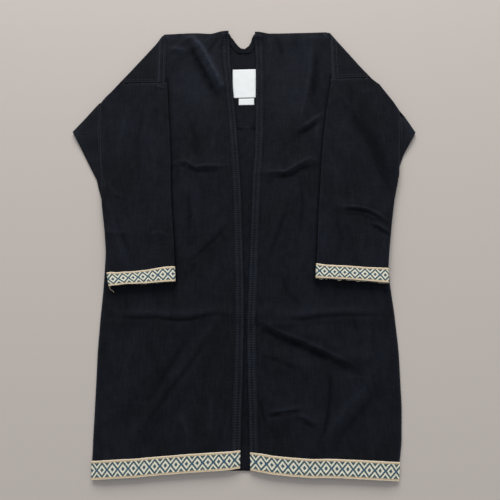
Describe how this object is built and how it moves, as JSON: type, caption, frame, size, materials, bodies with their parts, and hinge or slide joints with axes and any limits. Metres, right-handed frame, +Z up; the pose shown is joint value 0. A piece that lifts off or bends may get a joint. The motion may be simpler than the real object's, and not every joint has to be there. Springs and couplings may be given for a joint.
{
  "type": "kimono coat",
  "caption": "Open-front cotton kimono coat laid flat on its back, both sleeves folded down over the fronts, with woven diamond braid at the hem and cuffs.",
  "frame": {"origin": "middle of the coat's bounding box in plan, on the floor that the back lies on", "axes": "+X to the right as the coat is seen from above with its neck up, +Y from the hem to the neck, +Z up from the floor"},
  "size_m": [0.726, 0.9295, 0.018],
  "materials": {
    "cotton": "washed dark navy cotton, matt, with a fine crinkle",
    "band": "the same cotton, doubled and stitched, a little paler with wear",
    "braid": "woven braid, cream with blue diamonds and tan selvedges",
    "label": "white woven label, blank"
  },
  "bodies": {
    "root": {"back": "cotton", "front_left": "cotton", "front_right": "cotton", "sleeve_left": "cotton", "sleeve_right": "cotton", "gusset_left": "cotton", "gusset_right": "cotton", "front_band_left": "band", "front_band_right": "band", "neck_band": "band", "hem_braid_left": "braid", "hem_braid_right": "braid", "hem_braid_back": "braid", "cuff_braid_left": "braid", "cuff_braid_right": "braid", "neck_label": "label", "size_label": "label"}
  },
  "joints": []
}
